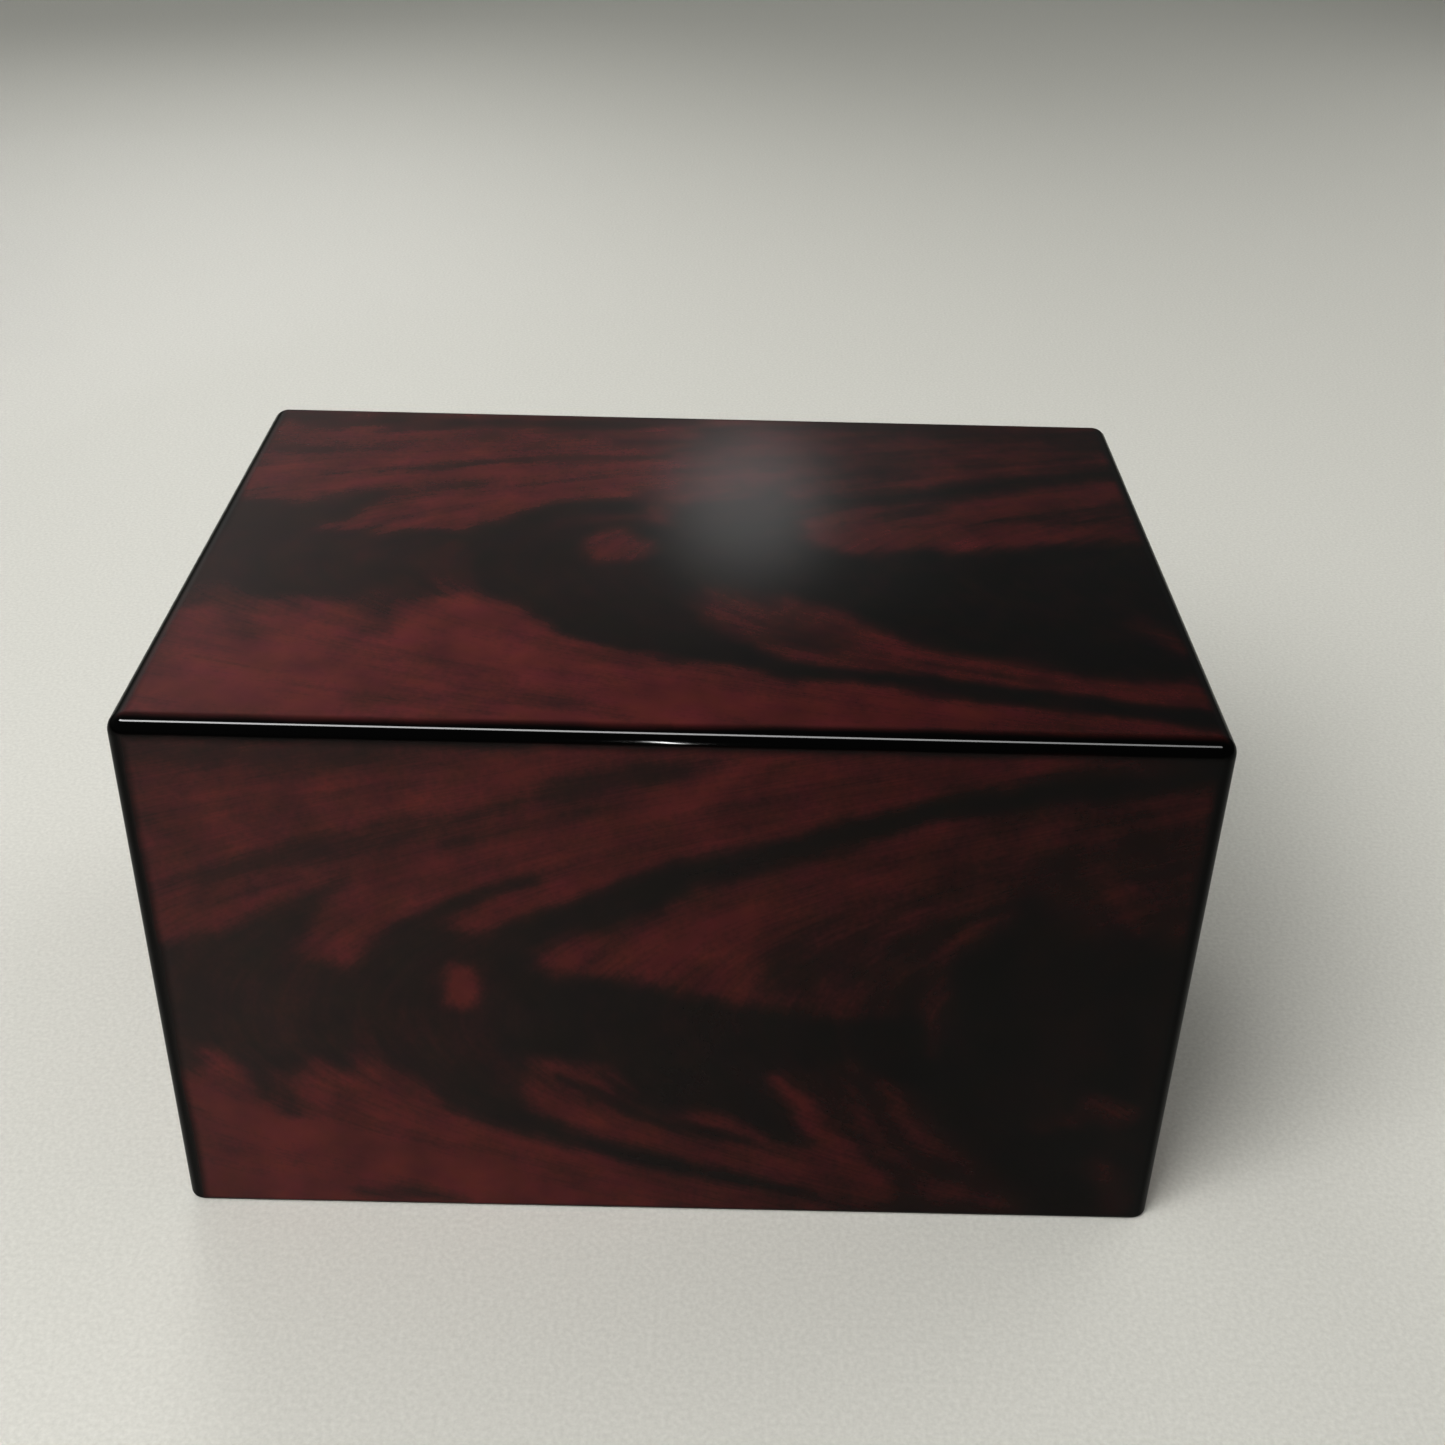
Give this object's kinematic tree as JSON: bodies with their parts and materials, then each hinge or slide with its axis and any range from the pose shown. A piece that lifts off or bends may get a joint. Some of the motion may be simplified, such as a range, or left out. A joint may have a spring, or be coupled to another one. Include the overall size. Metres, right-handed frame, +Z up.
{
  "type": "wooden cremation urn box",
  "caption": "Rectangular wooden urn box with rounded edges, mitred walls and top, hollow inside, closed from below by a screwed base board.",
  "frame": {"origin": "middle of the footprint, on the surface that the box stands on", "axes": "+Z up, +X to the right seen from the front, the front face looks towards -Y"},
  "size_m": [0.28, 0.2, 0.165],
  "materials": {
    "lacquered_wood": "high-gloss clear lacquer over dark red and black swirled rosewood figure, black rounded edges",
    "painted_board": "flat black paint on fibreboard",
    "screw_steel": "zinc plated"
  },
  "bodies": {
    "root": {"top_panel": "lacquered_wood", "front_panel": "lacquered_wood", "back_panel": "lacquered_wood", "left_panel": "lacquered_wood", "right_panel": "lacquered_wood", "base_panel": "painted_board", "base_screw_front_left": "screw_steel", "base_screw_front_right": "screw_steel", "base_screw_back_left": "screw_steel", "base_screw_back_right": "screw_steel"}
  },
  "joints": []
}
